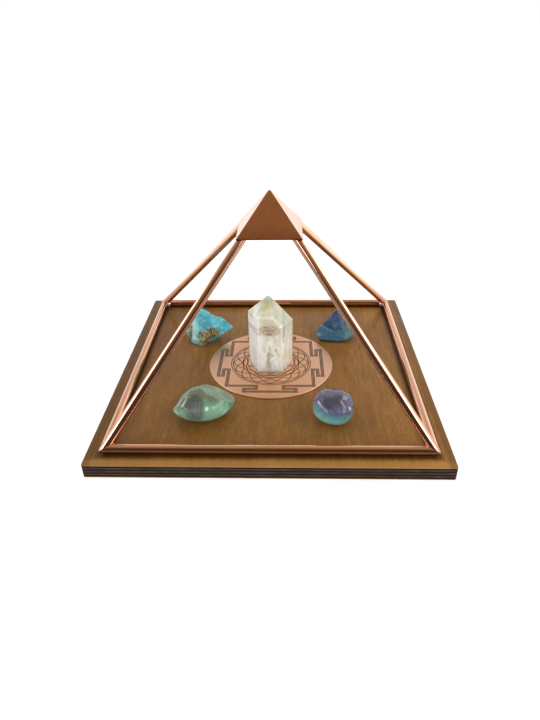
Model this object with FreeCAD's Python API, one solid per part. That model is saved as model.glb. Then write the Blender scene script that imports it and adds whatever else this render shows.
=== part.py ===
import FreeCAD, Part
import math
import os

# A copper pyramid frame on a square plywood board. An etched copper plate lies in the
# middle of the board with a quartz point on it, and four stones lie round the plate.
# Millimetres. The origin is the centre of the board's underside, +Z is up, the front
# is towards -Y.

Vec = FreeCAD.Vector
UP = Vec(0, 0, 1)

# Board
board_side = 240.0
board_corner_radius = 1.4
board_arris = 0.35
face_veneer_thickness = 0.9
core_ply_thickness = 1.25
core_ply_count = 7

# Etched plate
plate_diameter = 100.0
plate_thickness = 0.9
plate_arris = 0.15
plate_place_x = -0.8
plate_place_y = 1.9
etch_depth = 0.12
etch_line_width = 0.5

# Pyramid frame, and how far the board shows outside it on each side
frame_board_margin = 9.5
tube_diameter = 6.0
tube_wall = 0.8
frame_seat_gap = 0.2
frame_rise = 133.0
tube_end_distance = 12.0

# Cap
cap_height = 28.3
cap_sheet = 0.5
cap_solder_gap = 0.25
cap_tip_loss = 1.1
cap_fold_radius = 0.5
cap_solder_reach = 1.3
cap_solder_height = 5.0
cap_solder_inset = 1.2

# Solder in the corners of the base
bead_radius = 3.3
bead_set_in = 2.9

# Quartz point
quartz_width = 34.6
quartz_depth = 30.0
quartz_height = 61.0

# Loose stones: length, width and height of each
turquoise_length = 44.0
turquoise_width = 27.0
turquoise_height = 29.0
blue_length = 35.0
blue_width = 27.0
blue_height = 25.0
palm_length = 45.5
palm_width = 32.0
palm_height = 21.0
palm_foot_loss = 0.9
tumbled_length = 28.2
tumbled_width = 27.0
tumbled_height = 20.5

# Every cut runs past what it cuts by this much
overrun = 4.0

# Derived heights and places
core_thickness = core_ply_thickness * core_ply_count
board_thickness = 2 * face_veneer_thickness + core_thickness
tube_radius = tube_diameter / 2
frame_half = board_side / 2 - frame_board_margin - tube_radius
frame_axis_z = board_thickness + frame_seat_gap + tube_radius
frame_peak = Vec(0, 0, frame_axis_z + frame_rise)
slant = math.hypot(frame_half, frame_rise) / frame_half
run_per_rise = frame_half / frame_rise
plate_radius = plate_diameter / 2
plate_centre = Vec(plate_place_x, plate_place_y, board_thickness)
plate_top = board_thickness + plate_thickness

SIDES = {
    "front_left": (-1, -1),
    "front_right": (1, -1),
    "back_right": (1, 1),
    "back_left": (-1, 1),
}


def save(node, shape):
    shape.exportStep("parts/" + node + ".step")


def unit(vector):
    return vector * (1 / vector.Length)


def polygon_face(points):
    return Part.Face(Part.makePolygon(points + [points[0]]))


def beyond(point, direction):
    """A block that fills the side of a plane that direction points to."""
    reach = board_side
    block = Part.makeBox(2 * reach, 2 * reach, reach, Vec(-reach, -reach, 0))
    block.Placement = FreeCAD.Placement(point, FreeCAD.Rotation(UP, direction))
    return block


def corner_point(side):
    return Vec(side[0] * frame_half, side[1] * frame_half, frame_axis_z)


def rod(start, end, radius, extra=0.0):
    way = unit(end - start)
    return Part.makeCylinder(radius, (end - start).Length + 2 * extra, start - way * extra, way)


def tube(start, end, extra):
    outside = rod(start, end, tube_radius, extra)
    return outside.cut(rod(start, end, tube_radius - tube_wall, extra + overrun))


# Board

def board_sheet(height, thickness):
    half = board_side / 2
    sheet = Part.makeBox(board_side, board_side, thickness, Vec(-half, -half, height))
    upright = [edge for edge in sheet.Edges
               if abs(edge.Vertexes[0].Z - edge.Vertexes[1].Z) > thickness / 2]
    return sheet.makeFillet(board_corner_radius, upright)


def soften(sheet, height):
    """Break the sharp arris of the sheet at this height."""
    rim = [edge for edge in sheet.Edges
           if all(abs(vertex.Z - height) < board_arris / 10 for vertex in edge.Vertexes)]
    return sheet.makeChamfer(board_arris, rim)


def make_board():
    save("board_back_veneer", soften(board_sheet(0, face_veneer_thickness), 0))
    for index in range(core_ply_count):
        height = face_veneer_thickness + index * core_ply_thickness
        save("board_ply_%d" % (index + 1), board_sheet(height, core_ply_thickness))
    top = face_veneer_thickness + core_thickness
    face = board_sheet(top, face_veneer_thickness)
    save("board_face_veneer", soften(face, board_thickness))


# Frame of copper tube

def mitre(shape, corner, keep, others):
    """Cut a tube end so that it meets the other tubes of its corner on flat faces."""
    for other in others:
        shape = shape.cut(beyond(corner, unit(other - keep)))
    return shape


def corner_ways(side):
    along_x = Vec(-side[0], 0, 0)
    along_y = Vec(0, -side[1], 0)
    rising = unit(frame_peak - corner_point(side))
    return along_x, along_y, rising


def make_rail(first, second, is_along_x):
    shape = tube(corner_point(first), corner_point(second), tube_diameter)
    for side in (first, second):
        along_x, along_y, rising = corner_ways(side)
        keep, other = (along_x, along_y) if is_along_x else (along_y, along_x)
        shape = mitre(shape, corner_point(side), keep, [other, rising])
    return shape


def make_corner_tube(side):
    along_x, along_y, rising = corner_ways(side)
    foot = corner_point(side)
    top = frame_peak - rising * tube_end_distance
    outside = rod(foot - rising * tube_diameter, top, tube_radius)
    bore = rod(foot - rising * tube_diameter, top, tube_radius - tube_wall, overrun)
    return mitre(outside.cut(bore), foot, rising, [along_x, along_y])


def make_corner_bead(side):
    """A bead of solder in the crook of the three tubes, clear of the board."""
    along_x, along_y, rising = corner_ways(side)
    corner = corner_point(side)
    bead = Part.makeSphere(bead_radius, corner + (along_x + along_y) * bead_set_in)
    for way in (along_x, along_y, rising):
        bead = bead.cut(rod(corner - way * frame_half, corner + way * frame_half, tube_radius))
    return bead.cut(beyond(Vec(0, 0, board_thickness + frame_seat_gap), -UP))


def make_frame():
    front_left, front_right, back_right, back_left = SIDES.values()
    save("base_rail_front", make_rail(front_left, front_right, True))
    save("base_rail_back", make_rail(back_left, back_right, True))
    save("base_rail_left", make_rail(front_left, back_left, False))
    save("base_rail_right", make_rail(front_right, back_right, False))
    for name, side in SIDES.items():
        save("corner_tube_" + name, make_corner_tube(side))
        save("corner_solder_" + name, make_corner_bead(side))


# Cap of folded copper sheet

def cap_pyramid(offset, foot):
    """The pyramid whose faces lie this far outside the planes of the tube axes."""
    peak = frame_peak + UP * (offset * slant)
    half = (peak.z - foot) * run_per_rise
    ring = [Vec(x * half, y * half, foot) for x, y in SIDES.values()]
    faces = [polygon_face(ring[::-1])]
    for index in range(len(ring)):
        faces.append(polygon_face([ring[index - 1], ring[index], peak]))
    return Part.Solid(Part.Shell(faces))


cap_inner_offset = tube_radius + cap_solder_gap
cap_outer_offset = cap_inner_offset + cap_sheet
cap_peak_z = frame_peak.z + cap_outer_offset * slant
cap_mouth_z = cap_peak_z - cap_height


def make_cap():
    outside = cap_pyramid(cap_outer_offset, cap_mouth_z)
    folds = [edge for edge in outside.Edges
             if abs(edge.Vertexes[0].Z - edge.Vertexes[1].Z) > cap_height / 2]
    outside = outside.makeFillet(cap_fold_radius, folds)
    outside = outside.cut(beyond(Vec(0, 0, cap_peak_z - cap_tip_loss), UP))
    return outside.cut(cap_pyramid(cap_inner_offset, cap_mouth_z - overrun))


def make_cap_solder():
    """A collar round each tube, fitted to the inside of the cap."""
    low = cap_mouth_z + cap_solder_inset
    room = cap_pyramid(cap_inner_offset, low)
    room = room.cut(beyond(Vec(0, 0, low + cap_solder_height), UP))
    collars = []
    for side in SIDES.values():
        foot = corner_point(side)
        collar = rod(foot, frame_peak, tube_radius + cap_solder_reach)
        collar = collar.cut(rod(foot, frame_peak, tube_radius, overrun))
        collars.append(collar.common(room))
    return Part.makeCompound(collars)


# Etched plate: every line of the yantra is a shallow groove

# Heights and widths of the square with its four gates, as shares of the plate's radius
square_share = 0.67
gate_neck_share = 0.21
gate_lip_share = 0.75
gate_head_share = 0.395
gate_reach_share = 0.825
band_line_count = 3
band_line_pitch = 0.95

# Circles and petals, as shares of the plate's radius
circle_shares = [0.643, 0.612, 0.458, 0.378]
outer_petal_shares = (0.458, 0.605)
outer_petal_count = 16
inner_petal_shares = (0.378, 0.452)
inner_petal_count = 8
petal_overlap_share = 1.0
petal_swell_share = 0.12

# The nine triangles, as shares of the innermost circle's radius:
# height of the base line, height of the tip, half length of the base line
triangle_shares = [
    (-0.30, 0.97, 0.92),
    (-0.62, 0.66, 0.62),
    (-0.10, 0.80, 0.50),
    (-0.46, 0.34, 0.46),
    (0.30, -0.97, 0.92),
    (0.62, -0.66, 0.62),
    (0.46, -0.50, 0.74),
    (0.16, -0.80, 0.50),
    (0.08, -0.30, 0.30),
]


def moved_outward(wire, distance):
    """The closed wire, larger by this distance all round, with its corners kept sharp."""
    return wire.makeOffset2D(distance, join=2)


def ribbon(wire):
    """The strip that a line of the etching covers, for a closed wire."""
    outer = moved_outward(wire, etch_line_width / 2)
    inner = moved_outward(wire, -etch_line_width / 2)
    return Part.Face(outer).cut(Part.Face(inner))


def closed_wire(points):
    return Part.makePolygon(points + [points[0]])


def on_plate(across, along):
    return Vec(across * plate_radius, along * plate_radius, 0)


def gate_outline():
    """The square's outline, with a T-shaped gate in the middle of each side."""
    quarter = [
        (-square_share, -square_share),
        (-gate_neck_share, -square_share),
        (-gate_neck_share, -gate_lip_share),
        (-gate_head_share, -gate_lip_share),
        (-gate_head_share, -gate_reach_share),
        (gate_head_share, -gate_reach_share),
        (gate_head_share, -gate_lip_share),
        (gate_neck_share, -gate_lip_share),
        (gate_neck_share, -square_share),
    ]
    points = []
    for turn in range(4):
        spin = FreeCAD.Rotation(UP, 90 * turn)
        points += [spin.multVec(on_plate(across, along)) for across, along in quarter]
    return closed_wire(points)


def gate_lines():
    outline = gate_outline()
    lines = []
    for index in range(band_line_count):
        shift = (index - (band_line_count - 1) / 2) * band_line_pitch
        lines.append(ribbon(moved_outward(outline, shift) if shift else outline))
    return lines


def circle_lines():
    lines = []
    for share in circle_shares:
        radius = share * plate_radius
        outer = Part.Face(Part.Wire(Part.makeCircle(radius + etch_line_width / 2)))
        inner = Part.Face(Part.Wire(Part.makeCircle(radius - etch_line_width / 2)))
        lines.append(outer.cut(inner))
    return lines


def arc_ribbon(start, middle, end):
    """The strip that a line covers along the arc through three points."""
    circle = Part.Arc(start, middle, end).toShape().Curve
    centre = circle.Center
    edges = []
    for side in (1, -1):
        swell = 1 + side * etch_line_width / 2 / circle.Radius
        edges.append([centre + (point - centre) * swell for point in (start, middle, end)])
    outer, inner = edges
    return Part.Face(Part.Wire([
        Part.Arc(*outer).toShape(),
        Part.makeLine(outer[2], inner[2]),
        Part.Arc(*inner[::-1]).toShape(),
        Part.makeLine(inner[0], outer[0]),
    ]))


def at_angle(radius, angle):
    return Vec(radius * math.cos(angle), radius * math.sin(angle), 0)


def petal_lines(shares, count):
    """Pointed petals that overlap their neighbours, so their lines cross."""
    low, high = [share * plate_radius for share in shares]
    pitch = 2 * math.pi / count
    lines = []
    for index in range(count):
        tip_angle = index * pitch
        tip = at_angle(high, tip_angle)
        for side in (1, -1):
            foot = at_angle(low, tip_angle + side * pitch * petal_overlap_share)
            chord = tip - foot
            outward = Vec(-chord.y, chord.x, 0) * side
            middle = (foot + tip) * 0.5 + outward * petal_swell_share
            lines.append(arc_ribbon(foot, middle, tip))
    return lines


def triangle_lines():
    scale = circle_shares[-1] * plate_radius
    lines = []
    for base, tip, half in triangle_shares:
        points = [Vec(-half, base, 0), Vec(half, base, 0), Vec(0, tip, 0)]
        if tip < base:
            points.reverse()
        lines.append(ribbon(closed_wire([point * scale for point in points])))
    return lines


def make_plate():
    disc = Part.makeCylinder(plate_radius, plate_thickness)
    rims = [edge for edge in disc.Edges if edge.isClosed()]
    disc = disc.makeChamfer(plate_arris, rims)
    lines = gate_lines() + circle_lines() + triangle_lines()
    lines += petal_lines(outer_petal_shares, outer_petal_count)
    lines += petal_lines(inner_petal_shares, inner_petal_count)
    pattern = lines[0].multiFuse(lines[1:]).removeSplitter()
    pattern.translate(UP * (plate_thickness - etch_depth))
    disc = disc.cut(pattern.extrude(UP * (etch_depth + overrun)))
    disc.translate(plate_centre)
    return disc


# Quartz point: a six-sided prism with one sloping face over each side

# Corners as shares of the half width and half depth, then for each side, from one
# corner to the next, the height at which its sloping face starts, as a share
quartz_corner_shares = [
    (-1.0, 0.02), (-0.55, -1.0), (0.54, -1.0), (1.0, 0.05), (0.52, 0.97), (-0.5, 0.97),
]
quartz_shoulder_shares = [0.79, 0.80, 0.66, 0.65, 0.72, 0.77]
quartz_tip_shares = (-0.06, 0.0)


def make_quartz():
    half_width, half_depth = quartz_width / 2, quartz_depth / 2
    corners = [Vec(x * half_width, y * half_depth, 0) for x, y in quartz_corner_shares]
    tip = Vec(quartz_tip_shares[0] * half_width, quartz_tip_shares[1] * half_depth,
              quartz_height)
    crystal = polygon_face(corners).extrude(UP * quartz_height)
    for index, shoulder_share in enumerate(quartz_shoulder_shares):
        rise = UP * (shoulder_share * quartz_height)
        first = corners[index] + rise
        second = corners[(index + 1) % len(corners)] + rise
        outward = unit((second - first).cross(tip - first))
        crystal = crystal.cut(beyond(tip, outward))
    crystal.translate(Vec(plate_centre.x, plate_centre.y, plate_top))
    return crystal


# Loose stones

corner_reach = math.hypot(frame_half, frame_half)


def stone_place(degrees, share):
    """A place on the board between the plate's rim and the corner of the frame."""
    reach = plate_radius + share * (corner_reach - plate_radius)
    return Vec(0, 0, board_thickness) + at_angle(reach, math.radians(degrees))


def rough_stone(length, width, height, rings, top):
    """A broken stone: rings of corners, one above the other, joined by flat facets."""
    half = Vec(length / 2, width / 2, height)

    def corner(across, along, height_share):
        return Vec(across * half.x, along * half.y, height_share * half.z)

    levels = []
    for height_share, shift_x, shift_y, radius_shares in rings:
        count = len(radius_shares)
        level = []
        for index, share in enumerate(radius_shares):
            angle = 2 * math.pi * index / count
            across, along = share * math.cos(angle), share * math.sin(angle)
            level.append(corner(across + shift_x, along + shift_y, height_share))
        levels.append(level)
    faces = [polygon_face(levels[0][::-1])]
    for lower, upper in zip(levels, levels[1:]):
        for index in range(len(lower)):
            faces.append(polygon_face([lower[index - 1], lower[index], upper[index]]))
            faces.append(polygon_face([lower[index - 1], upper[index], upper[index - 1]]))
    peak = corner(*top)
    for index in range(len(levels[-1])):
        faces.append(polygon_face([levels[-1][index - 1], levels[-1][index], peak]))
    return Part.Solid(Part.Shell(faces))


# Each ring: height, shift across, shift along, then the radius every 45 degrees,
# counted from +X towards +Y, all as shares of the stone's size
turquoise_rings = [
    (0.00, -0.28, 0.00, [0.42, 0.60, 0.80, 0.75, 0.52, 0.70, 0.95, 0.60]),
    (0.20, -0.20, 0.00, [0.66, 0.78, 0.95, 0.83, 0.76, 0.78, 0.98, 0.76]),
    (0.40, -0.10, 0.02, [1.00, 0.75, 0.90, 0.85, 0.82, 0.82, 0.76, 0.66]),
    (0.62, -0.14, 0.05, [0.78, 0.60, 0.72, 0.70, 0.66, 0.66, 0.60, 0.52]),
    (0.88, -0.24, 0.08, [0.32, 0.36, 0.42, 0.42, 0.30, 0.34, 0.34, 0.30]),
]
turquoise_top_shares = (-0.28, 0.10, 1.0)
turquoise_turn_angle = 0.0
turquoise_place_angle = 142.5
turquoise_reach_share = 0.185

blue_rings = [
    (0.00, 0.00, 0.00, [0.82, 0.75, 0.80, 0.78, 0.80, 0.86, 0.90, 0.85]),
    (0.25, 0.00, 0.00, [1.00, 0.95, 1.00, 0.90, 1.00, 0.96, 0.96, 0.95]),
    (0.62, 0.06, 0.08, [0.80, 0.86, 0.86, 0.62, 0.52, 0.55, 0.55, 0.70]),
    (0.93, 0.14, 0.14, [0.50, 0.52, 0.42, 0.22, 0.20, 0.18, 0.18, 0.34]),
]
blue_top_shares = (0.10, 0.16, 1.0)
blue_turn_angle = 0.0
blue_place_angle = 41.0
blue_reach_share = 0.225

# The palm stone's crest lies this share of half its length beyond its middle. At its tip
# the outline comes from an oval whose middle lies below the axis, so that it is pointed.
palm_crest_share = 0.06
palm_tip_drop_share = 0.45
palm_end_drop_share = 0.0
palm_outline_step_count = 8
palm_turn_angle = 20.5
palm_place_angle = -125.4
palm_reach_share = 0.307

# The tumbled stone is a block whose edges are rounded by this share of half its height
tumbled_round_share = 0.82
tumbled_turn_angle = -14.0
tumbled_place_angle = -57.9
tumbled_reach_share = 0.3265


def stretched(shape, along_x, along_y):
    matrix = FreeCAD.Matrix()
    matrix.scale(along_x, along_y, 1)
    return shape.transformGeometry(matrix)


def oval_points(crest, reach, height, drop):
    """Points from the top of an oval down to the axis, reach away from the crest."""
    rise = height + drop
    last = math.acos(drop / rise)
    points = []
    for step in range(palm_outline_step_count + 1):
        angle = last * step / palm_outline_step_count
        along = reach * math.sin(angle) / math.sin(last)
        points.append(Vec(crest + along, 0, rise * math.cos(angle) - drop))
    return points


def palm_stone():
    """A round spindle, flattened, that stands on a small flat under its belly."""
    half_length = palm_length / 2
    half_height = (palm_height + palm_foot_loss) / 2
    crest = palm_crest_share * half_length
    to_tip = oval_points(crest, -half_length - crest, half_height,
                         palm_tip_drop_share * half_height)
    to_end = oval_points(crest, half_length - crest, half_height,
                         palm_end_drop_share * half_height)
    points = to_tip[::-1] + to_end[1:]
    curve = Part.BSplineCurve()
    curve.interpolate(points)
    outline = Part.Face(Part.Wire([curve.toShape(), Part.makeLine(points[-1], points[0])]))
    # Two half turns, because a single closed face doesn't keep its cut
    near_half, far_half = [outline.revolve(Vec(0, 0, 0), Vec(1, 0, 0), turn)
                           for turn in (180, -180)]
    foot = half_height - palm_foot_loss
    spindle = near_half.fuse(far_half).cut(beyond(Vec(0, 0, -foot), -UP))
    spindle.translate(UP * foot)
    return stretched(spindle, 1, palm_width / (palm_height + palm_foot_loss))


def tumbled_stone():
    side = tumbled_height
    block = Part.makeBox(side, side, side, Vec(-side / 2, -side / 2, 0))
    block = block.makeFillet(tumbled_round_share * side / 2, block.Edges)
    return stretched(block, tumbled_length / side, tumbled_width / side)


def put(stone, turn, place):
    stone.Placement = FreeCAD.Placement(place, FreeCAD.Rotation(UP, turn)) * stone.Placement
    return stone


def make_stones():
    turquoise = rough_stone(turquoise_length, turquoise_width, turquoise_height,
                            turquoise_rings, turquoise_top_shares)
    save("turquoise_stone", put(turquoise, turquoise_turn_angle,
                                stone_place(turquoise_place_angle, turquoise_reach_share)))
    blue = rough_stone(blue_length, blue_width, blue_height, blue_rings, blue_top_shares)
    save("blue_fluorite", put(blue, blue_turn_angle,
                              stone_place(blue_place_angle, blue_reach_share)))
    save("green_palm_stone", put(palm_stone(), palm_turn_angle,
                                 stone_place(palm_place_angle, palm_reach_share)))
    save("purple_tumbled_stone", put(tumbled_stone(), tumbled_turn_angle,
                                     stone_place(tumbled_place_angle, tumbled_reach_share)))


os.makedirs("parts", exist_ok=True)
make_board()
make_frame()
save("apex_cap", make_cap())
save("cap_solder", make_cap_solder())
save("yantra_plate", make_plate())
save("quartz_point", make_quartz())
make_stones()
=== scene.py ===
import math

import bpy
import bmesh
import numpy as np
from mathutils import Matrix, Vector, noise


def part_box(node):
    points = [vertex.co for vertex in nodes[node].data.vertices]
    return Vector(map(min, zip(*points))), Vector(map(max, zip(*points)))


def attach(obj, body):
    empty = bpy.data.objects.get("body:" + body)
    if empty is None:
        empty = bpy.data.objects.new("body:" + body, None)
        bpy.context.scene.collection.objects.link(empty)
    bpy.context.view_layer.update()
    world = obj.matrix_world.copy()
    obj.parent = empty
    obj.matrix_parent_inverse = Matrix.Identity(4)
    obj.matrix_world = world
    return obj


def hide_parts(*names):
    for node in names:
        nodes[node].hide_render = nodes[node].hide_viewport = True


# The copper pyramid on its plywood board, dressed for the camera. Metres, in the CAD frame.
# Textures are laid out in millimetres of the object's own space.

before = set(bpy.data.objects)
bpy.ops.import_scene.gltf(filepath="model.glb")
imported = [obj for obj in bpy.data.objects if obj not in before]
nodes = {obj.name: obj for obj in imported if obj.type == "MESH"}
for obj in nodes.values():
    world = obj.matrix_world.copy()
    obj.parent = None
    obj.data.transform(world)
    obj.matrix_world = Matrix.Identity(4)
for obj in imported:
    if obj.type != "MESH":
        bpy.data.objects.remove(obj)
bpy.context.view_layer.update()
plate_low, plate_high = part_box("yantra_plate")
plate_middle = (plate_low + plate_high) / 2
cap_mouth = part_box("apex_cap")[0].z
rail_low, rail_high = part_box("base_rail_right")
MM = 1000.0
# Where two rails and a corner tube meet, in millimetres; the four corners mirror each other
rail_radius = (rail_high.z - rail_low.z) / 2
joint_corner = tuple(MM * v for v in (rail_high.x - rail_radius, rail_high.x - rail_radius,
                                      rail_low.z + rail_radius))
# The board's margin: from clear of the painted shadow lines beside the rails to where the margin's
# painted light and shade are full
margin_start, margin_full = 113.5, 116.0
# The etching stops short of the plate's edge
etched_radius = 49.3
# Places along X of the two long edges of the quartz point that have a soft shade beside them
quartz_edges = (-10.8, 9.6)
# The flat polished face of the palm stone: the way it faces, and how far along that it lies
palm_facet_way = Vector((0.40, 0.30, 0.866)).normalized()
palm_facet_reach = -11.0


# Materials, built node by node

class Paint:
    """One procedural material round a Principled shader."""

    def __init__(self, name, **constants):
        self.material = bpy.data.materials.new(name)
        self.material.use_nodes = True
        self.tree = self.material.node_tree
        self.tree.nodes.clear()
        self.shader = self.add("ShaderNodeBsdfPrincipled")
        self.output = self.add("ShaderNodeOutputMaterial")
        self.link(self.shader.outputs[0], self.output.inputs["Surface"])
        self.place = self.vector("MULTIPLY", self.add("ShaderNodeTexCoord").outputs["Object"],
                                 (MM, MM, MM))
        for socket, value in constants.items():
            self.set(socket, value)

    def add(self, kind):
        return self.tree.nodes.new(kind)

    def link(self, source, target):
        self.tree.links.new(source, target)

    def feed(self, socket, value):
        """Link a socket to a node's output, or write a constant on it."""
        if isinstance(value, bpy.types.NodeSocket):
            self.link(value, socket)
        elif isinstance(value, (tuple, list)) and len(value) == 3 and socket.type == "RGBA":
            socket.default_value = (*value, 1)
        else:
            socket.default_value = value

    def set(self, socket, value):
        self.feed(self.shader.inputs[socket.replace("_", " ")], value)

    def vector(self, operation, first, second):
        node = self.add("ShaderNodeVectorMath")
        node.operation = operation
        self.feed(node.inputs[0], first)
        self.feed(node.inputs[1], second)
        return node.outputs["Value" if operation in ("DOT_PRODUCT", "DISTANCE", "LENGTH") else 0]

    def math(self, operation, first, second=0.0, clamp=False):
        node = self.add("ShaderNodeMath")
        node.operation, node.use_clamp = operation, clamp
        self.feed(node.inputs[0], first)
        self.feed(node.inputs[1], second)
        return node.outputs[0]

    def turned(self, direction):
        """The place with its Z turned to run along a direction."""
        node = self.add("ShaderNodeVectorRotate")
        node.rotation_type = "EULER_XYZ"
        self.feed(node.inputs["Vector"], self.place)
        turn = Vector(direction).to_track_quat("Z", "Y").inverted().to_euler()
        self.feed(node.inputs["Rotation"], tuple(turn))
        return node.outputs[0]

    def times(self, first, second, clamp=False):
        return self.math("MULTIPLY", first, second, clamp)

    def plus(self, first, second):
        return self.math("ADD", first, second)

    def minus(self, first, second):
        return self.math("SUBTRACT", first, second)

    def noise(self, size, stretch=(1, 1, 1), detail=3.0, rough=0.5, swirl=0.0, shift=(0, 0, 0),
              place=None):
        """Noise from 0 to 1, with features of about this size in millimetres."""
        node = self.add("ShaderNodeTexNoise")
        place = self.place if place is None else place
        scaled = self.vector("MULTIPLY", place, tuple(s / size for s in stretch))
        self.feed(node.inputs["Vector"], self.vector("ADD", scaled, shift))
        node.inputs["Scale"].default_value = 1
        node.inputs["Detail"].default_value = detail
        node.inputs["Roughness"].default_value = rough
        node.inputs["Distortion"].default_value = swirl
        return self.fit(node.outputs[0], 0.3, 0.7)

    def fit(self, value, low, high, smooth=False):
        """0 below low, 1 above high; low may be the larger of the two."""
        node = self.add("ShaderNodeMapRange")
        node.clamp = True
        if smooth:
            node.interpolation_type = "SMOOTHSTEP"
        self.feed(node.inputs["Value"], value)
        node.inputs["From Min"].default_value = low
        node.inputs["From Max"].default_value = high
        return node.outputs[0]

    def mix(self, share, first, second, blend="MIX"):
        node = self.add("ShaderNodeMix")
        node.data_type, node.blend_type = "RGBA", blend
        self.feed(node.inputs[0], share)
        self.feed(node.inputs[6], first)
        self.feed(node.inputs[7], second)
        return node.outputs[2]

    def over(self, colour, tone, mask, share):
        """A tone laid over a colour where the mask is, by this share."""
        return self.mix(self.times(mask, share), colour, tone)

    def ramp(self, value, *stops):
        node = self.add("ShaderNodeValToRGB")
        ramp = node.color_ramp
        while len(ramp.elements) < len(stops):
            ramp.elements.new(0.5)
        for element, (position, colour) in zip(ramp.elements, stops):
            element.position, element.color = position, (*colour, 1)
        self.feed(node.inputs[0], value)
        return node.outputs[0]

    def axis(self, name, place=None):
        node = self.add("ShaderNodeSeparateXYZ")
        self.feed(node.inputs[0], self.place if place is None else place)
        return node.outputs[name]

    def bump(self, height, depth, strength=1.0):
        """A bump of this depth in millimetres; several of them add up."""
        node = self.add("ShaderNodeBump")
        node.inputs["Strength"].default_value = strength
        node.inputs["Distance"].default_value = depth / MM
        self.feed(node.inputs["Height"], height)
        normal = self.shader.inputs["Normal"]
        if normal.is_linked:
            self.feed(node.inputs["Normal"], normal.links[0].from_socket)
        self.feed(normal, node.outputs[0])

    def near(self, point, radius, soft, squash=(1, 1, 1), along=None):
        """1 inside a ball round a point in millimetres, falling to 0 over the soft rim."""
        place = self.place
        if along:
            place = self.turned(along)
            point = tuple(Vector(along).to_track_quat("Z", "Y").inverted() @ Vector(point))
        offset = self.vector("MULTIPLY", self.vector("SUBTRACT", place, point), squash)
        return self.fit(self.vector("LENGTH", offset, (0, 0, 0)), radius + soft, radius, True)

    def edges(self, reach, start, end):
        """1 along the piece's outer edges, where a short way inside it soon leads out of it."""
        node = self.add("ShaderNodeAmbientOcclusion")
        node.inside, node.only_local, node.samples = True, True, 12
        node.inputs["Distance"].default_value = reach / MM
        return self.fit(node.outputs["AO"], start, end)


def paint_veneer():
    p = Paint("varnished_veneer", Coat_Weight=0.20, Coat_Roughness=0.10,
              Specular_IOR_Level=0.20)
    streaks = p.noise(1.7, (1, 0.07, 1), 6, 0.68, 0.3)
    fibres = p.noise(0.5, (1, 0.06, 1), 3, 0.65)
    speckle = p.noise(1.1, (1, 0.4, 1), 5, 0.72, shift=(1, 6, 2))
    clouds = p.noise(38, (1, 0.55, 1), 4, 0.6, 0.5)
    figure = p.noise(6, (1, 0.13, 1), 4, 0.62, 0.9, shift=(2, 5, 3))
    tone = 0.0
    for part, share in ((streaks, 0.26), (speckle, 0.28), (clouds, 0.24), (figure, 0.22)):
        tone = p.plus(tone, p.times(part, share))
    colour = p.ramp(tone, (0.2, (0.125, 0.052, 0.010)), (0.5, (0.206, 0.091, 0.018)),
                    (0.8, (0.310, 0.146, 0.031)))
    # Pores: short dark dashes along the grain
    pores = p.fit(p.noise(0.7, (1, 0.09, 1), 2, 0.5, shift=(7, 3, 1)), 0.72, 0.9)
    colour = p.over(colour, (0.085, 0.034, 0.008), pores, 0.34)
    colour = p.over(colour, (0.31, 0.15, 0.037), fibres, 0.15)
    # Painted shade and light: darker towards the left, lighter towards the right, painted shade
    # along the sides, painted light along the front margin
    tint = p.ramp(p.fit(p.axis("X"), -112, 112), (0, (0.38, 0.37, 0.35)), (0.4, (0.5, 0.5, 0.5)),
                  (0.78, (0.5, 0.49, 0.48)), (1, (0.6, 0.6, 0.6)))
    tint = p.vector("MULTIPLY", tint, (2, 2, 2))
    colour = p.mix(1.0, colour, tint, "MULTIPLY")
    edge_band = p.fit(p.axis("Y"), -margin_start, -margin_full)
    colour = p.over(colour, (0.42, 0.22, 0.065), edge_band, 0.42)
    painted_side_shading = p.fit(p.math("ABSOLUTE", p.axis("X")), margin_start, margin_full)
    colour = p.over(colour, (0.08, 0.034, 0.008), painted_side_shading, 0.45)
    # Painted shadow: a dark line on the wood on either side of the rails
    flat = p.vector("ABSOLUTE", p.place, (0, 0, 0))
    square = p.math("MAXIMUM", p.axis("X", flat), p.axis("Y", flat))
    beside = p.math("ABSOLUTE", p.minus(square, joint_corner[0]))
    colour = p.over(colour, (0.022, 0.009, 0.004), p.fit(beside, 6.6, 3.2, True), 0.78)
    p.set("Base Color", colour)
    p.set("Roughness", p.plus(p.times(clouds, 0.08), 0.36))
    p.bump(streaks, 0.02, 0.5)
    p.bump(pores, -0.03, 0.6)
    return p.material


def paint_ply(name, dark, light, across):
    """The edge of one ply: long fibres, or end grain where the fibres meet the edge."""
    p = Paint(name, Roughness=0.55, Specular_IOR_Level=0.3)
    stretch = (1, 1, 1) if across else (0.06, 0.06, 1)
    fibres = p.noise(0.5 if across else 0.9, stretch, 4, 0.65)
    patches = p.noise(9, (1, 1, 3), 3, 0.6)
    tone = p.plus(p.times(fibres, 0.6), p.times(patches, 0.4))
    p.set("Base Color", p.ramp(tone, (0.15, dark), (0.85, light)))
    p.bump(fibres, 0.05, 0.6)
    return p.material


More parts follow.
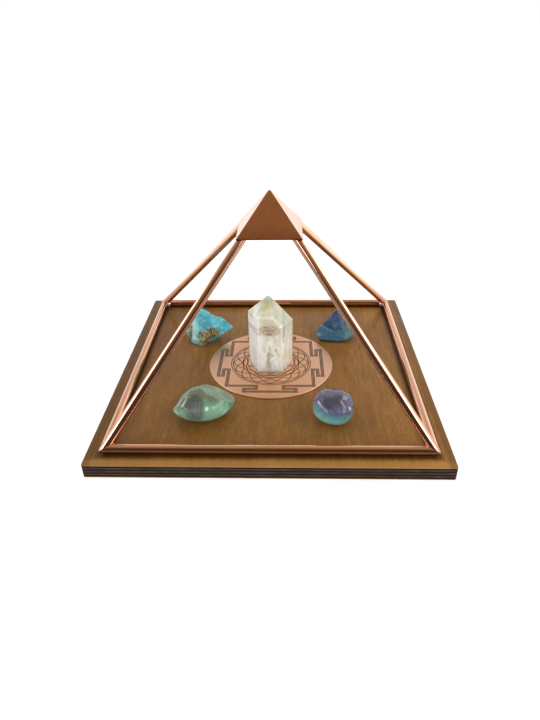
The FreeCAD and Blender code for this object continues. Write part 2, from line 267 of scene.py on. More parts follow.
def paint_tube(name, direction):
    """Drawn copper tube: fine lines along it, handling marks, heat stains at the joints, and
    painted shade on its underside near the board.
    """
    p = Paint(name, Metallic=1.0)
    along = p.turned(direction)
    lines = p.noise(0.35, (1, 1, 0.008), 3, 0.6, place=along)
    patches = p.noise(14, (1, 1, 0.3), 3, 0.5, 0.4, place=along)
    specks = p.fit(p.noise(1.1, (1, 1, 0.7), 4, 0.7, shift=(3, 9, 5)), 0.86, 0.99)
    colour = p.ramp(patches, (0.0, (0.85, 0.475, 0.31)), (0.55, (0.89, 0.515, 0.35)),
                    (1.0, (0.92, 0.555, 0.39)))
    colour = p.over(colour, (0.78, 0.34, 0.19), lines, 0.06)
    colour = p.over(colour, (0.48, 0.22, 0.12), specks, 0.22)
    corner = p.vector("ABSOLUTE", p.place, (0, 0, 0))
    offset = p.vector("SUBTRACT", corner, joint_corner)
    stain = p.fit(p.vector("LENGTH", offset, (0, 0, 0)), 11, 3, True)
    stain = p.times(stain, p.noise(3, detail=4, shift=(1, 1, 8)))
    colour = p.over(colour, (0.36, 0.20, 0.15), stain, 0.6)
    # Painted shade: the tubes darker on their underside, close to the board
    under = p.fit(p.axis("Z"), joint_corner[2] - 0.6, joint_corner[2] - 2.2, True)
    colour = p.over(colour, (0.24, 0.10, 0.06), under, 0.72)
    p.set("Base Color", colour)
    rough = p.plus(p.times(patches, 0.03), p.times(stain, 0.2))
    p.set("Roughness", p.plus(rough, 0.065))
    p.bump(lines, 0.002, 0.4)
    return p.material


def paint_cap():
    p = Paint("copper_sheet", Metallic=1.0, Coat_Weight=0.3, Coat_Roughness=0.08)
    brushed = p.noise(0.3, (1, 1, 0.02), 3, 0.6)
    clouds = p.noise(11, (1, 1, 1), 4, 0.6, 1.2)
    spots = p.fit(p.noise(1.6, detail=5, rough=0.7, shift=(2, 8, 4)), 0.82, 0.98)
    colour = p.ramp(clouds, (0.0, (0.84, 0.39, 0.21)), (0.5, (0.88, 0.42, 0.235)),
                    (1.0, (0.91, 0.45, 0.26)))
    colour = p.over(colour, (0.50, 0.22, 0.11), spots, 0.18)
    # Painted shade: darker towards the mouth, with a dark line along its edge
    low = p.fit(p.axis("Z"), cap_mouth * MM + 10, cap_mouth * MM + 0.5, True)
    colour = p.over(colour, (0.44, 0.19, 0.10), low, 0.42)
    rim = p.fit(p.axis("Z"), cap_mouth * MM + 1.1, cap_mouth * MM + 0.2, True)
    colour = p.over(colour, (0.16, 0.055, 0.03), rim, 0.75)
    p.set("Base Color", colour)
    p.set("Roughness", p.plus(p.times(clouds, 0.05), 0.17))
    p.bump(brushed, 0.004, 0.5)
    p.bump(p.noise(14, detail=1), 0.10, 0.3)
    return p.material


def paint_solder():
    p = Paint("solder", Metallic=1.0)
    lumps = p.noise(1.3, detail=4, rough=0.6)
    dull = p.noise(0.5, detail=3, shift=(4, 4, 4))
    p.set("Base Color", p.ramp(dull, (0.1, (0.62, 0.58, 0.55)), (0.9, (0.92, 0.90, 0.88))))
    p.set("Roughness", p.plus(p.times(dull, 0.2), 0.16))
    p.bump(lumps, 0.35, 0.6)
    return p.material


def paint_plate():
    p = Paint("etched_copper")
    grain = p.noise(0.25, (1, 0.03, 1), 3, 0.6)
    clouds = p.noise(18, detail=4, rough=0.6)
    centre = tuple(MM * v for v in plate_middle)
    # Painted light: brighter, warmer copper round the middle
    centre_light = p.near(centre, 17, 9)
    colour = p.ramp(clouds, (0.0, (0.78, 0.425, 0.25)), (1.0, (0.85, 0.50, 0.315)))
    # Painted light: paler copper towards the left and right
    painted_side_shading = p.fit(p.math("ABSOLUTE", p.axis("X")), 18, 44, True)
    colour = p.over(colour, (1.0, 0.64, 0.45), painted_side_shading, 0.9)
    colour = p.over(colour, (1.0, 0.56, 0.30), centre_light, 0.85)
    colour = p.over(colour, (0.62, 0.28, 0.16), grain, 0.10)
    # The etched grooves are darkened: everything inside the rim and below the face
    groove = p.fit(p.axis("Z"), MM * plate_high.z - 0.01, MM * plate_high.z - 0.05)
    # The stain has crept a little way out of them
    creep = p.times(p.edges(0.2, 0.96, 0.80), 0.65)
    groove = p.math("MAXIMUM", groove, creep)
    inside = p.near(centre, etched_radius, 0.3, (1, 1, 0))
    groove = p.times(groove, inside)
    stain = p.ramp(p.noise(1.2, detail=4), (0, (0.010, 0.005, 0.004)), (1, (0.040, 0.018, 0.012)))
    p.set("Base Color", p.mix(groove, colour, stain))
    p.set("Metallic", p.fit(groove, 1.35, 0.0))
    flat = p.plus(p.times(clouds, 0.08), 0.33)
    p.set("Roughness", p.plus(flat, p.times(groove, 0.35)))
    p.bump(grain, 0.006, 0.5)
    return p.material


def paint_quartz():
    p = Paint("clear_quartz", Roughness=0.05, IOR=1.54, Transmission_Weight=0.20,
              Subsurface_Weight=0.9, Subsurface_Radius=(1.0, 0.98, 0.93), Subsurface_Scale=0.02)
    height, side = p.axis("Z"), p.axis("X")
    veils = p.noise(8, (1, 1, 0.5), 4, 0.6, 1.6)
    colour = p.ramp(veils, (0.10, (0.57, 0.55, 0.40)), (0.45, (0.67, 0.65, 0.50)),
                    (0.85, (0.79, 0.77, 0.64)))
    haze = p.fit(height, 52, 30, True)
    colour = p.over(colour, (1.0, 1.0, 0.93), haze, 0.75)
    # Growth lines across the faces, a darker band down the far left side, and soft shade beside
    # two of the long edges
    growth = p.noise(1.3, (0.06, 0.06, 1), 3, 0.6)
    high = p.plus(p.times(p.fit(height, 50, 56), 0.38), 0.12)
    colour = p.over(colour, (0.50, 0.49, 0.40), growth, high)
    rim = p.fit(side, -16.6, -17.6)
    colour = p.over(colour, (0.30, 0.27, 0.19), rim, 0.6)
    for edge in quartz_edges:
        shade = p.fit(p.math("ABSOLUTE", p.minus(side, edge)), 1.5, 0.2, True)
        shade = p.times(shade, p.fit(height, 30, 42, True))
        colour = p.over(colour, (0.42, 0.44, 0.38), shade, 0.55)
    # Cracks low down: olive streaks between white flecks, partly white cracks and partly painted
    # glints
    low = p.fit(height, 42, 32, True)
    patches = p.fit(p.noise(4.2, (1, 1, 0.38), 4, 0.6, 0.5, shift=(8, 2, 5)), 0.45, 0.80)
    patches = p.times(patches, p.fit(side, -12, -7))
    colour = p.over(colour, (0.52, 0.44, 0.27), p.times(patches, low), 0.75)
    flecks = p.fit(p.noise(3.2, (1, 1, 0.42), 4, 0.65, 0.6, shift=(2, 3, 1)), 0.56, 0.74)
    flecks = p.times(flecks, p.fit(height, 50, 38, True))
    colour = p.over(colour, (1.0, 1.0, 1.0), flecks, 0.9)
    # Single cracks: dark ones, and white ones that are painted glints where cracks catch the light
    grey, white = (0.42, 0.38, 0.28), (1.0, 1.0, 1.0)
    for place, along, length, share, tone in (
            ((-3.4, -13, 20.0), (0.1, 0, 1), 7, 0.65, grey),
            ((-1.6, -13, 18.5), (-0.1, 0, 1), 6, 0.6, grey),
            ((-1.2, -13, 31.0), (0.2, 0, 1), 7, 0.5, grey),
            ((-9.0, -12, 26.0), (0.3, 0, 1), 6, 0.45, grey),
            ((4.8, -13, 30.0), (-0.3, 0, 1), 7, 0.45, grey),
            ((1.3, -13, 24.2), (1, 0, 0.7), 5, 1.0, white),
            ((0.3, -13, 37.9), (0.1, 0, 1), 6, 0.9, white),
            ((3.9, -13, 15.0), (1, 0, 0.4), 7, 1.0, white),
            ((7.2, -12, 52.4), (1, 0, 0.3), 3, 0.9, white),
            ((-7.0, -12, 19.6), (-0.1, 0, 1), 6, 0.8, white)):
        crack = p.near(place, 0.3, 1.0, (0.4, 1, 1.4 / length), along)
        colour = p.over(colour, tone, crack, share)
    # Painted light: a bright white patch on the left face
    clear = p.near((-14.5, -6, 42), 5, 6, (1, 0.6, 0.27))
    colour = p.over(colour, (1.0, 1.0, 0.97), clear, 0.9)
    crystals = p.fit(p.noise(0.9, detail=3, rough=0.6, shift=(4, 6, 1)), 0.62, 0.78)
    crystals = p.times(crystals, p.fit(side, 4, 11, True))
    colour = p.over(colour, (0.58, 0.56, 0.46), crystals, 0.35)
    # Iron-stained band, fainter on the left face
    rust = p.near((-2.2, -13, 49.2), 2.4, 4.4, (0.52, 0.35, 1.0))
    line = p.near((-12, -8, 47.8), 1.6, 3.2, (0.17, 0.17, 1.0))
    band = p.math("MAXIMUM", rust, p.times(line, 0.62))
    grains = p.noise(2.2, detail=5, rough=0.72, swirl=0.8)
    rust = p.fit(p.times(band, p.plus(grains, 0.15)), 0.18, 0.62)
    colour = p.over(colour, (0.66, 0.50, 0.38), rust, 0.45)
    grit = p.fit(p.noise(0.8, detail=3, rough=0.7, swirl=0.8, shift=(4, 4, 4)), 0.48, 0.60)
    colour = p.over(colour, (0.20, 0.09, 0.065), p.times(rust, grit), 0.85)
    # The greenish point, an olive streak beside it, and yellow light in three places
    for place, radius, soft, squash, along, share, tone in (
            ((-2, -2, 71), 3, 6, (1, 1, 1), None, 0.85, (0.37, 0.38, 0.26)),
            ((-5.2, -6.5, 65.5), 1.0, 2.8, (1, 1, 0.25), (0.82, 0.35, 0.45), 0.6,
             (0.50, 0.46, 0.21)),
            ((-15, -3, 59), 1.5, 5, (1, 1, 1), None, 0.65, (0.56, 0.50, 0.22)),
            ((15, -5, 27), 1.5, 7, (1, 1, 0.5), None, 0.22, (0.80, 0.64, 0.30)),
            ((-13, -7, 26), 2, 5, (1, 1, 0.7), None, 0.4, (0.66, 0.55, 0.34))):
        colour = p.over(colour, tone, p.near(place, radius, soft, squash, along), share)
    # Painted highlight along the edges
    colour = p.over(colour, (1.0, 1.0, 0.90), p.edges(1.6, 0.92, 0.66), 0.8)
    p.set("Base Color", colour)
    p.bump(growth, 0.06, 0.35)
    p.bump(flecks, 0.12, 0.35)
    return p.material


def paint_turquoise():
    p = Paint("turquoise", Roughness=0.30, Coat_Weight=0.25, Coat_Roughness=0.12)
    clouds = p.noise(7, detail=5, rough=0.6, swirl=0.6)
    fine = p.noise(1.5, detail=4, rough=0.65)
    colour = p.ramp(clouds, (0.05, (0.015, 0.235, 0.345)), (0.4, (0.032, 0.37, 0.48)),
                    (0.7, (0.08, 0.48, 0.585)), (1.0, (0.30, 0.64, 0.68)))
    colour = p.over(colour, (0.15, 0.56, 0.63), fine, 0.3)
    # Painted shade in the hollow in the front
    hollow = p.near((-59, 35, 30), 3, 6)
    colour = p.over(colour, (0.05, 0.27, 0.34), hollow, 0.6)
    ridge = p.near((-67.5, 33.5, 23), 2.6, 3, (1.1, 0.6, 0.28))
    colour = p.over(colour, (0.40, 0.66, 0.60), ridge, 0.75)
    # Brown host rock where the stone broke away, with black pits
    rock = p.math("MAXIMUM", p.near((-58.0, 31, 17.5), 2.6, 5, (0.75, 0.6, 0.75)),
                  p.near((-52.0, 33, 21.0), 2.2, 5, (0.65, 0.6, 1.0)))
    vein = p.near((-71, 37, 21), 1.2, 2, (1, 0.5, 0.22))
    rock = p.math("MAXIMUM", rock, p.times(vein, 0.9))
    ragged = p.minus(p.noise(2.4, detail=6, rough=0.75, shift=(1, 4, 4)), 0.5)
    rock = p.fit(p.plus(rock, p.times(ragged, 1.1)), 0.42, 0.62)
    pits = p.ramp(p.noise(1.3, detail=5, rough=0.7, shift=(6, 1, 3)), (0.30, (0.02, 0.014, 0.008)),
                  (0.45, (0.13, 0.10, 0.03)), (0.68, (0.36, 0.31, 0.13)))
    colour = p.mix(rock, colour, pits)
    # Painted highlights: pale flecks of sparkle over the stone
    painted_sparkle = p.fit(p.noise(3.2, detail=6, rough=0.7, shift=(2, 2, 9)), 0.66, 0.82)
    colour = p.over(colour, (0.62, 0.82, 0.80), painted_sparkle, 0.35)
    specks = p.fit(p.noise(2.2, detail=6, rough=0.75, shift=(9, 1, 4)), 0.84, 0.94)
    colour = p.over(colour, (0.09, 0.075, 0.03), specks, 0.7)
    p.set("Base Color", colour)
    p.bump(fine, 0.3, 0.6)
    p.bump(clouds, 0.6, 0.5)
    return p.material


def paint_blue_fluorite():
    p = Paint("blue_fluorite", Roughness=0.25, Coat_Weight=0.2, Coat_Roughness=0.08,
              Transmission_Weight=0.2)
    zones = p.noise(5, (0.5, 0.5, 1.6), 4, 0.55, 0.8)
    fine = p.noise(1.2, (0.6, 0.6, 2.2), 4, 0.65)
    low = p.fit(p.axis("Z"), 26, 12)
    right = p.near((68, 38, 17), 4, 8)
    colour = p.ramp(zones, (0.1, (0.008, 0.026, 0.085)), (0.5, (0.026, 0.078, 0.160)),
                    (0.9, (0.085, 0.190, 0.300)))
    colour = p.over(colour, (0.026, 0.046, 0.12), p.near((58, 45, 33), 4, 7), 0.7)
    colour = p.over(colour, (0.040, 0.19, 0.245), low, 0.5)
    colour = p.over(colour, (0.075, 0.21, 0.205), right, 0.55)
    colour = p.over(colour, (0.20, 0.32, 0.44), p.fit(fine, 0.55, 0.9), 0.35)
    colour = p.over(colour, (0.30, 0.40, 0.46), p.near((39.5, 39, 17), 0.8, 2.5), 0.45)
    p.set("Base Color", colour)
    p.bump(fine, 0.12, 0.5)
    return p.material


def paint_palm_stone():
    p = Paint("green_fluorite", Roughness=0.06, IOR=1.43, Transmission_Weight=0.38)
    zones = p.noise(6, (1, 1, 1), 5, 0.6, 0.9)
    fine = p.noise(2.2, (0.5, 1, 1), 5, 0.65, 0.8, shift=(3, 3, 3))
    colour = p.ramp(zones, (0.1, (0.055, 0.155, 0.085)), (0.6, (0.15, 0.32, 0.19)),
                    (1.0, (0.34, 0.56, 0.37)))
    # Lighter mint low on the right and left, partly the stone's own colour and partly painted
    # light coming through it
    mint = p.math("MAXIMUM", p.near((-37, -78, 20), 5, 5, (0.7, 1, 1)),
                  p.near((-63, -79, 19), 3, 5, (0.6, 1, 1)))
    colour = p.over(colour, (0.34, 0.64, 0.43), mint, 0.5)
    brown = p.near((-56, -72, 29), 5, 5, (0.75, 0.8, 0.8))
    browns = p.ramp(fine, (0.2, (0.085, 0.062, 0.035)), (0.8, (0.21, 0.19, 0.115)))
    colour = p.over(colour, browns, brown, 0.85)
    purple = p.near((-51, -79, 25), 3.8, 3.2, (0.8, 0.45, 0.5))
    purple = p.times(purple, p.plus(p.times(fine, 0.4), 0.7), True)
    colour = p.over(colour, (0.045, 0.030, 0.042), purple, 0.95)
    streak = p.near((-50, -81, 25.0), 0.8, 2.0, (0.4, 1, 1.6))
    colour = p.over(colour, (0.34, 0.12, 0.19), streak, 0.5)
    # Fine lines down the front
    lines = p.noise(0.9, (1, 0.1, 0.12), 3, 0.6)
    lines = p.times(lines, p.near((-47, -81, 20), 5, 5, (0.7, 1, 0.7)))
    colour = p.over(colour, (0.30, 0.42, 0.37), lines, 0.35)
    # The flat face is striped, and dark under its front edge
    depth = p.vector("DOT_PRODUCT", p.place, tuple(palm_facet_way))
    facet = p.fit(depth, palm_facet_reach - 0.6, palm_facet_reach + 0.1)
    stripes = p.noise(1.4, (1, 1, 0.08), 3, 0.6, place=p.turned((0.65, -0.74, -0.19)))
    striped = p.ramp(stripes, (0.2, (0.165, 0.185, 0.11)), (0.8, (0.44, 0.55, 0.38)))
    colour = p.over(colour, striped, facet, 0.7)
    under = p.times(p.fit(depth, palm_facet_reach - 5, palm_facet_reach - 2),
                    p.fit(depth, palm_facet_reach - 0.2, palm_facet_reach - 0.9))
    under = p.times(under, p.near((-42, -67, 28), 7, 6))
    colour = p.over(colour, (0.15, 0.135, 0.075), under, 0.75)
    # Painted light: the lower rim brighter, as light coming through the stone
    rim = p.fit(p.axis("Z"), 20, 13, True)
    colour = p.over(colour, (0.38, 0.78, 0.60), rim, 0.7)
    colour = p.over(colour, (0.62, 0.78, 0.64), fine, 0.14)
    # Painted glints: highlights on small cleavage faces inside the stone
    for place, along, length, share in (((-42.7, -79.7, 25.3), (0.3, 0.2, 1), 2.4, 0.95),
                                        ((-31.0, -73.5, 20.5), (1, 1.4, 0.8), 6.0, 1.0),
                                        ((-59.0, -74.5, 27.3), (3.1, 7, 3.5), 5.5, 0.6),
                                        ((-64.0, -78.0, 20.5), (1, -0.5, -0.6), 3.5, 0.6)):
        glint = p.near(place, 0.5, 1.3, (1, 1, 1.8 / length), along)
        colour = p.over(colour, (0.84, 1.0, 0.92), glint, share)
    p.set("Base Color", colour)
    p.set("Roughness", p.plus(p.times(facet, 0.4), 0.06))
    p.bump(p.noise(6, detail=1), 0.08, 0.15)
    return p.material


def paint_tumbled_stone():
    p = Paint("purple_fluorite", Roughness=0.05, IOR=1.50, Transmission_Weight=0.34)
    clouds = p.noise(6, detail=5, rough=0.65, swirl=0.8)
    fine = p.noise(1.8, (1, 1, 1.6), 5, 0.65, 0.8, shift=(3, 3, 3))
    # Green below, purple above, with the border higher on the left; the pale mint at the very
    # bottom is painted light coming through the stone
    height = p.plus(p.axis("Z"), p.times(clouds, 2.2))
    lean = p.times(p.fit(p.axis("X"), 43, 33), 4.5)
    height = p.fit(p.minus(height, lean), 11, 34)
    colour = p.ramp(height, (0.14, (0.44, 0.84, 0.71)), (0.32, (0.22, 0.56, 0.52)),
                    (0.48, (0.10, 0.27, 0.31)), (0.60, (0.075, 0.07, 0.15)),
                    (1.0, (0.155, 0.135, 0.215)))
    pale = p.fit(p.noise(5, (1, 1, 1.5), 4, 0.6, 1.4, shift=(5, 2, 7)), 0.58, 0.8)
    pale = p.times(pale, p.fit(height, 0.55, 0.7))
    colour = p.over(colour, (0.40, 0.40, 0.54), pale, 0.42)
    for place in ((40.5, -77, 29), (48, -75, 30)):
        dark = p.times(p.near(place, 2.6, 4.5), p.plus(fine, 0.5), True)
        colour = p.over(colour, (0.022, 0.017, 0.042), dark, 0.9)
    colour = p.over(colour, (0.42, 0.42, 0.52), fine, 0.16)
    lines = p.noise(0.9, (1, 0.3, 0.12), 3, 0.6)
    lines = p.times(lines, p.fit(height, 0.5, 0.3))
    colour = p.over(colour, (0.05, 0.20, 0.22), lines, 0.4)
    # Painted glints: highlights on small cleavage faces inside the stone
    for place, along, length, share in (((36.0, -78.6, 27.2), (5, -5.5, -3.5), 8.0, 0.6),
                                        ((55.0, -77.5, 24.5), (0.2, 0, 1), 4.0, 1.0)):
        glint = p.near(place, 0.4, 1.2, (1, 1, 1.6 / length), along)
        colour = p.over(colour, (0.82, 0.86, 1.0), glint, share)
    p.set("Base Color", colour)
    p.bump(p.noise(6, detail=1), 0.08, 0.15)
    return p.material


def dress(piece, material):
    piece.data.materials.clear()
    piece.data.materials.append(material)


def dress_nodes():
    veneer = paint_veneer()
    for name in ("board_face_veneer", "board_back_veneer"):
        dress(nodes[name], veneer)
    long_ply = paint_ply("light_ply", (0.034, 0.021, 0.017), (0.088, 0.056, 0.046), False)
    end_ply = paint_ply("dark_ply", (0.006, 0.0035, 0.003), (0.019, 0.011, 0.009), True)
    for index in range(1, 8):
        dress(nodes["board_ply_%d" % index], end_ply if index % 2 else long_ply)
    along_x = paint_tube("copper_tube_across", (1, 0, 0))
    along_y = paint_tube("copper_tube_along", (0, 1, 0))
    for name in ("front", "back"):
        dress(nodes["base_rail_" + name], along_x)
    for name in ("left", "right"):
        dress(nodes["base_rail_" + name], along_y)
    solder = paint_solder()
    for name in ("front_left", "front_right", "back_right", "back_left"):
        tube = nodes["corner_tube_" + name]
        low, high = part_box(tube.name)
        slope = ((high.x - low.x) * (1 if "left" in name else -1),
                 (high.y - low.y) * (1 if "front" in name else -1), high.z - low.z)
        dress(tube, paint_tube("copper_tube_" + name, slope))
        dress(nodes["corner_solder_" + name], solder)
    dress(nodes["cap_solder"], solder)
    dress(nodes["apex_cap"], paint_cap())
    dress(nodes["yantra_plate"], paint_plate())
    quartz = nodes["quartz_point"]
    dress(quartz, paint_quartz())
    edge_band = quartz.modifiers.new("worn_edges", "BEVEL")
    edge_band.width, edge_band.segments, edge_band.limit_method = 0.0011, 3, "ANGLE"


# Loose stones: finer copies of the CAD stones, broken or polished as the real ones are

def points_of(piece):
    points = np.empty(len(piece.data.vertices) * 3)
    piece.data.vertices.foreach_get("co", points)
    return points.reshape(-1, 3) * MM


def normals_of(piece):
    normals = np.empty(len(piece.data.vertices) * 3, np.float32)
    piece.data.vertex_normals.foreach_get("vector", normals)
    return normals.reshape(-1, 3).astype(float)


def field(points, size, seed, octaves=3):
    """Noise from about -1 to 1 with features of this size in millimetres."""
    shift = Vector((seed * 17.3, seed * 5.1, seed * 9.7))
    values = [noise.fractal(Vector(p) / size + shift, 1.0, 2.0, octaves) for p in points]
    return np.array(values)


def fit_to_box(points, node):
    """Stretch the points so that they fill the CAD stone's box again after smoothing."""
    low, high = (np.array(corner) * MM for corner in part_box(node))
    least, most = points.min(0), points.max(0)
    return low + (points - least) * (high - low) / (most - least)


def push(points, *pushes):
    """Move what lies near each centre, most in the middle, by up to way; in millimetres."""
    for centre, radius, way in pushes:
        distance = np.linalg.norm(points - np.array(centre), axis=1)
        share = np.exp(-(distance / radius) ** 2)
        points = points + share[:, None] * np.array(way, float)
    return points


def settle(piece, node, points):
    """Write the points back, kept inside the CAD stone's box and on what carries it."""
    low, high = (np.array(corner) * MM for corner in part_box(node))
    piece.data.vertices.foreach_set("co", (np.clip(points, low, high) / MM).ravel())
    piece.data.update()
    for polygon in piece.data.polygons:
        polygon.use_smooth = True


def make_stone(piece, node, body, material, shape):
    points = fit_to_box(points_of(piece), node)
    settle(piece, node, shape(points, normals_of(piece)))
    dress(piece, material)
    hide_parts(node)
    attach(piece, body)


def broken_turquoise(points, normals):
    """A hollow in the front, a ridge at its left, a dip before the tail, a furrow."""
    points = push(points,
                  ((-58.5, 33, 30), 6.5, (0, 4.2, -1.5)),
                  ((-67.5, 32, 26), 3.6, (-0.3, -2.2, 0.4)),
                  ((-67.0, 31, 17), 3.6, (-0.5, -2.0, 0)),
                  ((-51.5, 44, 34), 4.5, (0, -0.5, -4.0)),
                  ((-50, 29, 13), 7.0, (-2.0, 4.5, 1.5)),
                  ((-43.5, 39, 29), 4.0, (0.5, -0.6, 2.2)),
                  ((-72.5, 35, 25), 2.6, (2.0, 1.4, 0)),
                  ((-72.5, 35, 18), 2.6, (2.0, 1.4, 0)))
    lumps = field(points, 8, 1) * 0.9 + field(points, 2.6, 2) * 0.4
    return points + normals * lumps[:, None]


def chipped_fluorite(points, normals):
    lumps = field(points, 9, 3, 2) * 0.35 + field(points, 2.4, 4) * 0.14
    return points + normals * lumps[:, None]


def polished_palm(points, normals):
    """Smooth, but for one flat polished face on the top right."""
    points = points + normals * (field(points, 18, 5, 1) * 0.35)[:, None]
    points = push(points, ((-64, -69, 26), 7, (2.4, -1.2, -1.8)))
    way = np.array(palm_facet_way)
    beyond = np.clip(points @ way - palm_facet_reach, 0, None)
    return points - beyond[:, None] * way * 0.92


def polished_tumble(points, normals):
    """Uneven: fuller at the lower right, drawn in at the lower left."""
    points = push(points,
                  ((33, -80, 15), 8, (1.2, 0.6, 0.6)),
                  ((36, -73, 31), 7, (-0.5, 0, 0.9)),
                  ((56, -77, 30), 7, (-1.0, 0.4, -1.6)),
                  ((45, -84, 27), 7, (0, 0.8, -1.0)))
    return points + normals * (field(points, 13, 6, 1) * 0.6)[:, None]


# The broken blue stone: its corners as shares of the CAD stone's box
blue_corners = [
    (0.48, 0.50, 1.00), (0.80, 0.58, 0.98), (0.60, 0.76, 0.86), (0.03, 0.30, 0.36),
    (0.00, 0.26, 0.22), (0.08, 0.10, 0.09), (0.55, 0.00, 0.06), (0.72, 0.00, 0.12),
    (0.96, 0.22, 0.20), (1.00, 0.50, 0.34), (0.92, 0.85, 0.22), (0.70, 1.00, 0.16),
    (0.28, 0.88, 0.12), (0.14, 0.24, 0.00), (0.54, 0.08, 0.00), (0.76, 0.12, 0.00),
    (0.90, 0.40, 0.00), (0.78, 0.86, 0.00), (0.34, 0.76, 0.00),
]


def hull_mesh(name, node, corners):
    """The flat breaks through these corners."""
    low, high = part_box(node)
    size = high - low
    mesh = bmesh.new()
    for corner in corners:
        mesh.verts.new([low[i] + corner[i] * size[i] for i in range(3)])
    bmesh.ops.convex_hull(mesh, input=mesh.verts[:])
    bmesh.ops.dissolve_limit(mesh, angle_limit=0.05, verts=mesh.verts[:], edges=mesh.edges[:])
    bmesh.ops.recalc_face_normals(mesh, faces=mesh.faces[:])
    data = bpy.data.meshes.new(name)
    mesh.to_mesh(data)
    mesh.free()
    return data


def even_piece(name, data, voxel, smoothing, bevel=0.0):
    """A mesh as an even grid of small faces, its edges broken and rounded."""
    piece = bpy.data.objects.new(name, data)
    bpy.context.scene.collection.objects.link(piece)
    if bevel:
        broken = piece.modifiers.new("edges", "BEVEL")
        broken.width, broken.segments = bevel, 2
    remesh = piece.modifiers.new("even", "REMESH")
    remesh.mode, remesh.voxel_size = "VOXEL", voxel
    smooth = piece.modifiers.new("round", "SMOOTH")
    smooth.factor, smooth.iterations = 0.5, smoothing
    bpy.context.view_layer.update()
    shown = piece.evaluated_get(bpy.context.evaluated_depsgraph_get())
    mesh = bpy.data.meshes.new_from_object(shown)
    piece.modifiers.clear()
    piece.data = mesh
    return piece


def finer_copy(name, node, voxel, smoothing):
    return even_piece(name, nodes[node].data.copy(), voxel, smoothing)


def make_stones():
    """Finer meshes in the CAD stones' boxes. Voxels and broken edges are in metres."""
    make_stone(finer_copy("turquoise_rough", "turquoise_stone", 0.0005, 5),
               "turquoise_stone", "turquoise", paint_turquoise(), broken_turquoise)
    breaks = hull_mesh("blue_fluorite_rough", "blue_fluorite", blue_corners)
    make_stone(even_piece("blue_fluorite_rough", breaks, 0.0005, 3, bevel=0.0009),
               "blue_fluorite", "fluorite", paint_blue_fluorite(),
               chipped_fluorite)
    make_stone(finer_copy("palm_stone_polished", "green_palm_stone", 0.0006, 8),
               "green_palm_stone", "palm_stone", paint_palm_stone(),
               polished_palm)
    make_stone(finer_copy("tumbled_stone_polished", "purple_tumbled_stone", 0.0006, 26),
               "purple_tumbled_stone", "tumbled_stone",
               paint_tumbled_stone(), polished_tumble)


# Studio: a pale floor, a white room with a dim side where the viewer stands, soft lamps

def make_floor():
    """A wide white sheet just under the board, its glow growing with the distance."""
    half = 12.0
    below = -0.0001
    glow_start, glow_full = 250, 1200
    sweep_start, sweep_full = 180, 480
    mesh = bpy.data.meshes.new("studio_floor")
    corners = [(-half, -half, 0), (half, -half, 0), (half, half, 0), (-half, half, 0)]
    mesh.from_pydata(corners, [], [(0, 1, 2, 3)])
    floor = bpy.data.objects.new("studio_floor", mesh)
    bpy.context.scene.collection.objects.link(floor)
    floor.location.z = below
    p = Paint("pale_floor", Roughness=0.9)
    p.set("Specular_IOR_Level", 0.1)
    rays = p.add("ShaderNodeLightPath")
    mirrored = rays.outputs["Is Glossy Ray"]
    direct = p.math("MAXIMUM", rays.outputs["Is Camera Ray"],
                    rays.outputs["Is Transmission Ray"])
    distance = p.vector("LENGTH", p.place, (0, 0, 0))
    facing = p.math("DIVIDE", p.axis("Y"), distance)
    # Mirrored in the copper, the floor is dark on the viewer's side and glows far behind
    colour = p.ramp(p.noise(300, detail=2), (0, (0.86, 0.86, 0.87)), (1, (0.89, 0.89, 0.89)))
    sides = p.mix(p.fit(p.axis("X"), -250, 250), (0.48, 0.50, 0.52), (0.80, 0.79, 0.77))
    sides = p.mix(p.fit(facing, -0.25, -0.85), sides, (0.05, 0.045, 0.04))
    p.set("Base Color", p.mix(mirrored, colour, sides))
    p.set("Emission_Color", (1.0, 1.0, 1.0))
    glow = p.times(p.fit(distance, glow_start, glow_full, True), 0.52)
    glow = p.times(p.plus(glow, 0.36), direct)
    sweep = p.times(p.fit(distance, sweep_start, sweep_full, True), p.fit(facing, -0.15, 0.2))
    sweep = p.times(p.times(sweep, 0.9), mirrored)
    p.set("Emission_Strength", p.plus(glow, sweep))
    p.material.cycles.emission_sampling = "NONE"
    dress(floor, p.material)


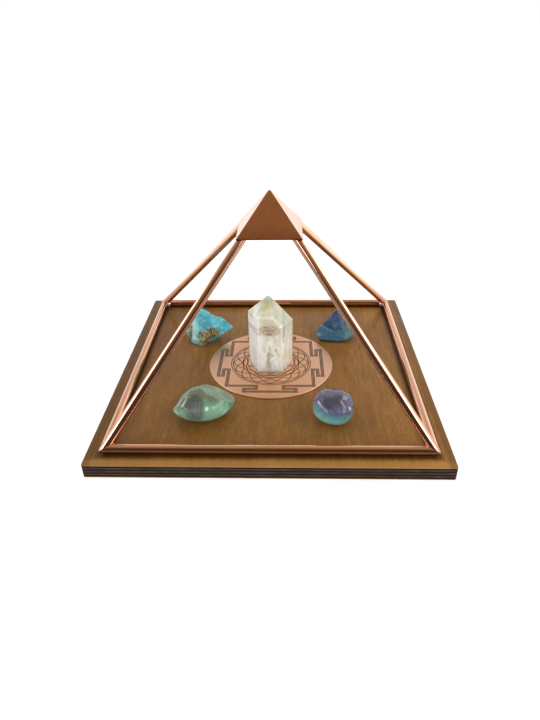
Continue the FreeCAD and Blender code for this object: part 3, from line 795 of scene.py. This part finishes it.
def make_world():
    """White for the camera, plain light for all else, and a room for what mirrors it."""
    world = bpy.data.worlds.new("white_room")
    bpy.context.scene.world = world
    world.use_nodes = True
    world.cycles.sampling_method = "NONE"
    tree = world.node_tree
    tree.nodes.clear()

    def feed(socket, value):
        if isinstance(value, bpy.types.NodeSocket):
            tree.links.new(value, socket)
        else:
            socket.default_value = (*value, 1) if isinstance(value, tuple) else value

    def add(kind, *inputs):
        """A node whose first inputs take these values or links."""
        node = tree.nodes.new(kind)
        for socket, value in zip(node.inputs, inputs):
            feed(socket, value)
        return node

    def math_node(operation, first, second=0.0):
        node = add("ShaderNodeMath", first, second)
        node.operation = operation
        return node.outputs[0]

    def fit(value, low, high):
        node = add("ShaderNodeMapRange", value, low, high)
        node.interpolation_type = "SMOOTHSTEP"
        return node.outputs[0]

    def mix(share, first, second):
        node = add("ShaderNodeMix", share)
        node.data_type = "RGBA"
        feed(node.inputs[6], first)
        feed(node.inputs[7], second)
        return node.outputs[2]

    ways = add("ShaderNodeSeparateXYZ", add("ShaderNodeTexCoord").outputs["Generated"])
    x, y, z = ways.outputs
    # How far a way points to the back, whatever its height
    level = math_node("SQRT", math_node("ADD", math_node("MULTIPLY", x, x),
                                        math_node("MULTIPLY", y, y)))
    along = math_node("DIVIDE", y, math_node("MAXIMUM", level, 0.001))
    walls = mix(fit(x, -0.6, 0.4), (0.74, 0.76, 0.80), (0.98, 0.97, 0.96))
    room = mix(fit(z, 0.42, 0.74), walls, (0.47, 0.40, 0.29))
    overhead = math_node("MULTIPLY", fit(y, 0.05, -0.45), fit(z, 0.50, 0.75))
    room = mix(overhead, room, (0.26, 0.185, 0.11))
    # The lit backdrop stands along the horizon behind and beside the object
    backdrop = math_node("MULTIPLY", fit(along, -0.1, 0.25), fit(z, 0.17, 0.05))
    room = mix(backdrop, room, (1.5, 1.5, 1.55))
    # The viewer's side is dim, with the side walls getting lighter away from it
    corner = math_node("MULTIPLY", fit(along, -0.25, -0.62), fit(z, 0.5, 0.3))
    room = mix(corner, room, (0.33, 0.31, 0.29))
    dim = math_node("MULTIPLY", fit(along, -0.62, -0.82), fit(z, 0.86, 0.60))
    room = mix(dim, room, (0.065, 0.047, 0.04))
    rays = add("ShaderNodeLightPath")
    colour = mix(rays.outputs["Is Glossy Ray"], (0.24, 0.243, 0.25), room)
    colour = mix(rays.outputs["Is Transmission Ray"], colour, (0.95, 0.95, 0.95))
    colour = mix(rays.outputs["Is Camera Ray"], colour, (1.0, 1.0, 1.0))
    background = add("ShaderNodeBackground", colour, 1.0)
    output = add("ShaderNodeOutputWorld")
    tree.links.new(background.outputs[0], output.inputs[0])


def make_lamp(name, place, target, width, height, power, tint, mirrored=True):
    light = bpy.data.lights.new(name, "AREA")
    light.shape, light.size, light.size_y = "RECTANGLE", width, height
    light.energy, light.color = power, tint
    lamp = bpy.data.objects.new(name, light)
    bpy.context.scene.collection.objects.link(lamp)
    lamp.location = place
    aim = Vector(target) - Vector(place)
    lamp.rotation_euler = aim.to_track_quat("-Z", "Y").to_euler()
    lamp.visible_glossy = mirrored


def make_lamps():
    """A big softbox on either side, which the copper mirrors, and fills that it doesn't."""
    aim = (0, 0, 0.03)
    wide = 1.65
    for side, place, high, power, rest, tint in (
            ("left", (-0.973, -0.207, 0.70), 0.24, 4.8, 2.8, (0.98, 0.98, 1)),
            ("right", (0.905, -0.16, 0.78), 0.36, 6.4, 3.4, (1, 0.99, 0.98))):
        make_lamp("softbox_" + side, place, aim, wide, high, power, tint)
        make_lamp("fill_" + side, place, aim, wide, 0.6, rest, tint, False)
    make_lamp("fill_back", (-0.22, 0.50, 0.95), aim, 0.4, 0.4, 3.2, (1, 0.99, 0.97), False)
    make_lamp("fill_front", (0.05, -1.0, 0.30), aim, 0.7, 0.5, 4.8, (1, 0.99, 0.98), False)
    # Low at the sides, for the upright faces of the stones
    make_lamp("fill_low_left", (-0.80, -0.35, 0.16), aim, 0.4, 0.24, 1.3, (1, 1, 0.98), False)
    make_lamp("fill_low_right", (0.80, -0.35, 0.16), aim, 0.4, 0.24, 1.4, (1, 1, 0.96), False)


def make_camera():
    """The photograph's viewpoint, fitted to the corners of the board."""
    place, lens = (0.01123, -0.37937, 0.25305), 27.555
    yaw, pitch, roll = -0.0336, 0.5602, -0.0164
    ahead = Vector((math.sin(yaw) * math.cos(pitch), math.cos(yaw) * math.cos(pitch),
                    -math.sin(pitch)))
    right = Vector((math.cos(yaw), -math.sin(yaw), 0))
    up = right.cross(ahead)
    across = right * math.cos(roll) + up * math.sin(roll)
    upward = up * math.cos(roll) - right * math.sin(roll)
    data = bpy.data.cameras.new("camera")
    data.sensor_fit, data.sensor_width, data.lens = "AUTO", 36, lens
    camera = bpy.data.objects.new("camera", data)
    bpy.context.scene.collection.objects.link(camera)
    turn = Matrix((across, upward, -ahead)).transposed().to_4x4()
    camera.matrix_world = Matrix.Translation(place) @ turn
    bpy.context.scene.camera = camera


bpy.context.scene.view_settings.view_transform = "Standard"
dress_nodes()
make_stones()
make_floor()
make_world()
make_lamps()
make_camera()
bpy.context.view_layer.update()
